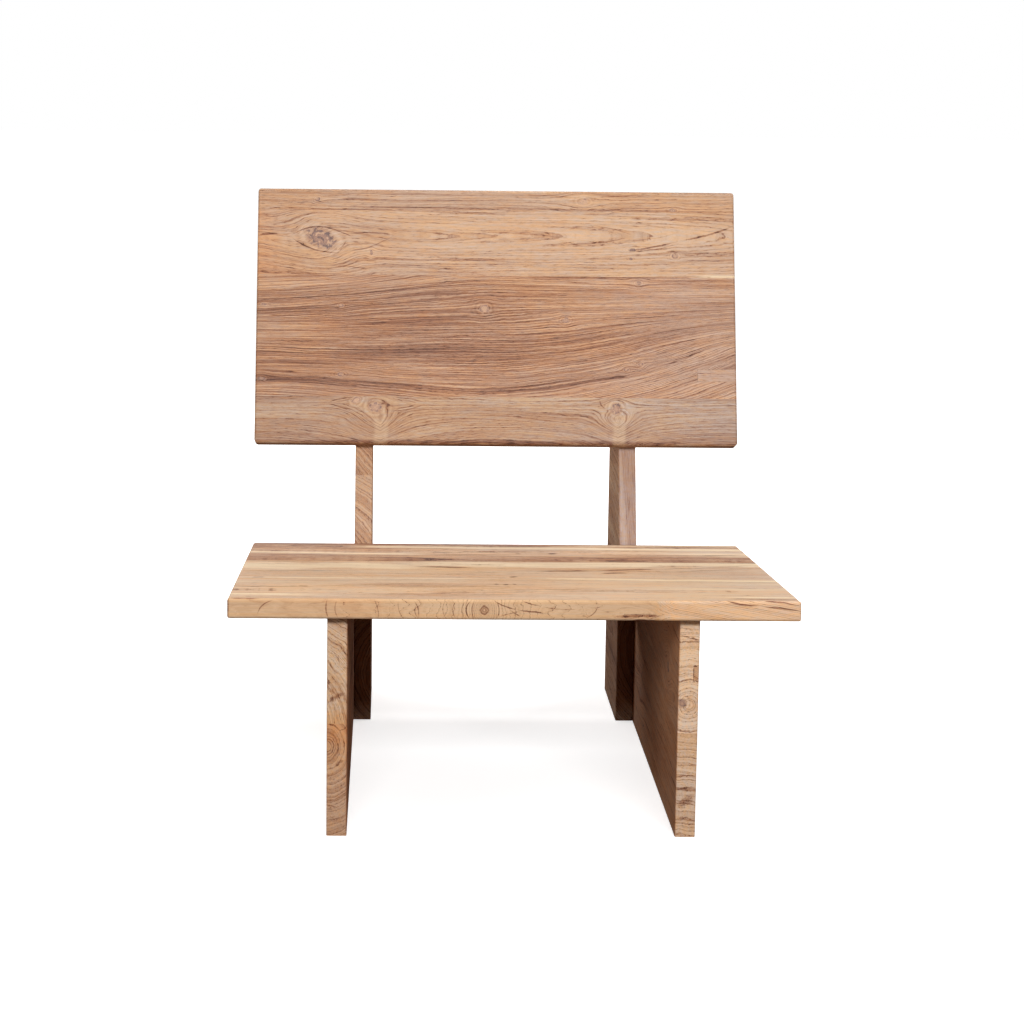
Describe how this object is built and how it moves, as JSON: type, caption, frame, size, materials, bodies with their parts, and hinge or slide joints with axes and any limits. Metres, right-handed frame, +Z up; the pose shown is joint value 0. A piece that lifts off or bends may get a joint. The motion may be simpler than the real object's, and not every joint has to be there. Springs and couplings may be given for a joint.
{
  "type": "lounge chair",
  "caption": "Low lounge chair of solid teak planks: a wide sloping seat and a reclined back panel on two plank sides and wedge-shaped rear supports.",
  "frame": {"origin": "on the floor, at the centre of the footprint's bounding box", "axes": "+Z up; -Y is the way the sitter faces, so the seat's front edge is at -Y and the rear supports are at +Y; +X is to the right as seen from the front, on the plane X = 0 of symmetry"},
  "size_m": [0.7, 0.747, 0.7646],
  "materials": {
    "teak_seat": "satin, oiled, pale with sapwood streaks",
    "teak_back": "satin, oiled, lined grain with knots",
    "teak_side": "satin, oiled",
    "teak_support": "satin, oiled",
    "teak_patch": "satin, oiled",
    "teak_frame": "planed, unfinished",
    "dowel_beech": "planed, unfinished",
    "screw_steel": "zinc plated, satin"
  },
  "bodies": {
    "root": {"seat_board_1": "teak_seat", "seat_board_2": "teak_seat", "seat_board_3": "teak_seat", "seat_board_4": "teak_seat", "seat_board_5": "teak_seat", "back_board_1": "teak_back", "back_board_2": "teak_back", "back_board_3": "teak_back", "back_board_4": "teak_back", "back_patch": "teak_patch", "left_side_lower": "teak_side", "left_side_upper": "teak_side", "right_side_lower": "teak_side", "right_side_upper": "teak_side", "side_patch": "teak_patch", "left_support_1": "teak_support", "left_support_2": "teak_support", "left_support_3": "teak_support", "left_support_4": "teak_support", "right_support_1": "teak_support", "right_support_2": "teak_support", "right_support_3": "teak_support", "right_support_4": "teak_support", "rear_rail": "teak_frame", "left_seat_cleat": "teak_frame", "right_seat_cleat": "teak_frame", "left_back_cleat": "teak_frame", "right_back_cleat": "teak_frame", "seat_cleat_screws": "screw_steel", "back_cleat_screws": "screw_steel", "support_screws": "screw_steel", "rail_dowels": "dowel_beech"}
  },
  "joints": []
}
